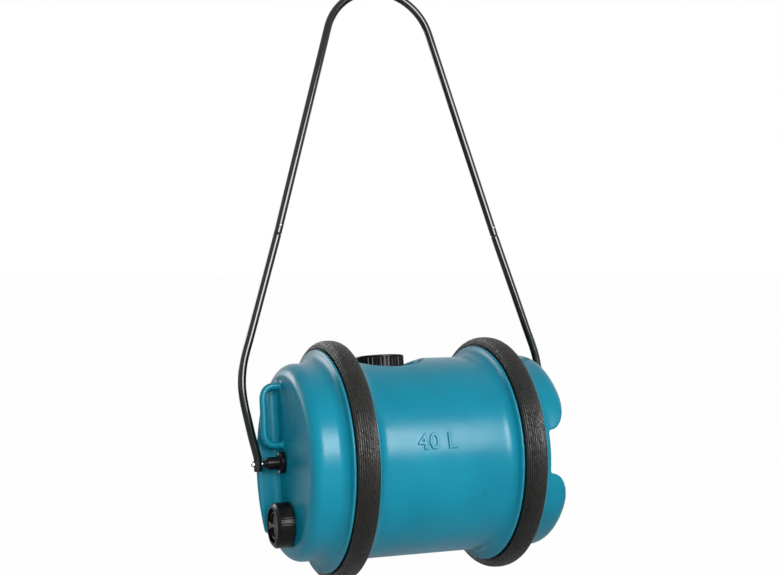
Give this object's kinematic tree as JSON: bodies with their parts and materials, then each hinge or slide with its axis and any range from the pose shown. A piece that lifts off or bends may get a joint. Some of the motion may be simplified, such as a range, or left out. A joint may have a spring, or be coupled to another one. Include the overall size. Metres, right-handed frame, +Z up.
{
  "type": "rolling water container",
  "caption": "Barrel-shaped water container that rolls on its rubber tyres, with screw caps to fill and drain it and a long plug-together tube handle to pull it.",
  "frame": {"origin": "on the ground under the middle of the container, centred between the outer sides of the handle's arms", "axes": "+X along the rolling axis towards the end with the channel, +Y the way the handle leans back, +Z up"},
  "size_m": [0.5774, 0.41, 1.0467],
  "materials": {
    "drum_plastic": "satin",
    "tyre_rubber": "matte, ribbed",
    "black_plastic": "satin",
    "seal_rubber": "matte",
    "tube_steel": "smooth, dark and shiny",
    "bright_steel": "bright"
  },
  "bodies": {
    "drum": {"drum_shell": "drum_plastic", "left_tyre": "tyre_rubber", "right_tyre": "tyre_rubber", "left_hub": "black_plastic", "right_hub": "black_plastic", "left_hub_bush": "black_plastic", "right_hub_bush": "black_plastic", "left_hub_screw_top": "bright_steel", "left_hub_screw_low": "bright_steel", "right_hub_screw_top": "bright_steel", "right_hub_screw_low": "bright_steel"},
    "handle": {"left_lower_arm": "tube_steel", "right_lower_arm": "tube_steel", "upper_loop": "tube_steel", "left_pin": "bright_steel", "right_pin": "bright_steel", "left_pin_nut": "bright_steel", "right_pin_nut": "bright_steel", "left_button_spring": "bright_steel", "right_button_spring": "bright_steel"},
    "filler_seal": {"filler_gasket": "seal_rubber"},
    "filler_lid": {"filler_cap": "black_plastic"},
    "outlet_seal": {"outlet_gasket": "seal_rubber"},
    "outlet_lid": {"outlet_cap": "black_plastic"},
    "left_button": {"left_snap_button": "bright_steel"},
    "right_button": {"right_snap_button": "bright_steel"}
  },
  "joints": [
    {"name": "handle_swing", "type": "hinge", "parent": "drum", "child": "handle", "pos_m": [0, 0, 0.205], "axis": [1, 0, 0], "continuous": true},
    {"name": "filler_lift", "type": "slide", "parent": "drum", "child": "filler_seal", "axis": [0, 0.1478, 0.989], "range_m": [0, 0.02]},
    {"name": "filler_turn", "type": "hinge", "parent": "filler_seal", "child": "filler_lid", "pos_m": [-0.0301, 0.0227, 0.3568], "axis": [0, 0.1478, 0.989], "range_deg": [0, 720]},
    {"name": "outlet_lift", "type": "slide", "parent": "drum", "child": "outlet_seal", "axis": [-1, 0, 0], "range_m": [0, 0.018]},
    {"name": "outlet_turn", "type": "hinge", "parent": "outlet_seal", "child": "outlet_lid", "pos_m": [-0.2157, -0.03499, 0.10619], "axis": [-1, 0, 0], "range_deg": [0, 720]},
    {"name": "left_button_press", "type": "slide", "parent": "handle", "child": "left_button", "axis": [0, 0.9903, -0.1392], "range_m": [0, 0.0032], "stiffness_N_per_m": 600, "springref_m": -0.0005, "deforming": ["left_button_spring"]},
    {"name": "right_button_press", "type": "slide", "parent": "handle", "child": "right_button", "axis": [0, 0.9903, -0.1392], "range_m": [0, 0.0032], "stiffness_N_per_m": 600, "springref_m": -0.0005, "deforming": ["right_button_spring"]}
  ],
  "couplings": [
    {"joint": "filler_lift", "follows": "filler_turn", "m_per_rad": 0.0015915},
    {"joint": "outlet_lift", "follows": "outlet_turn", "m_per_rad": 0.0014324}
  ]
}
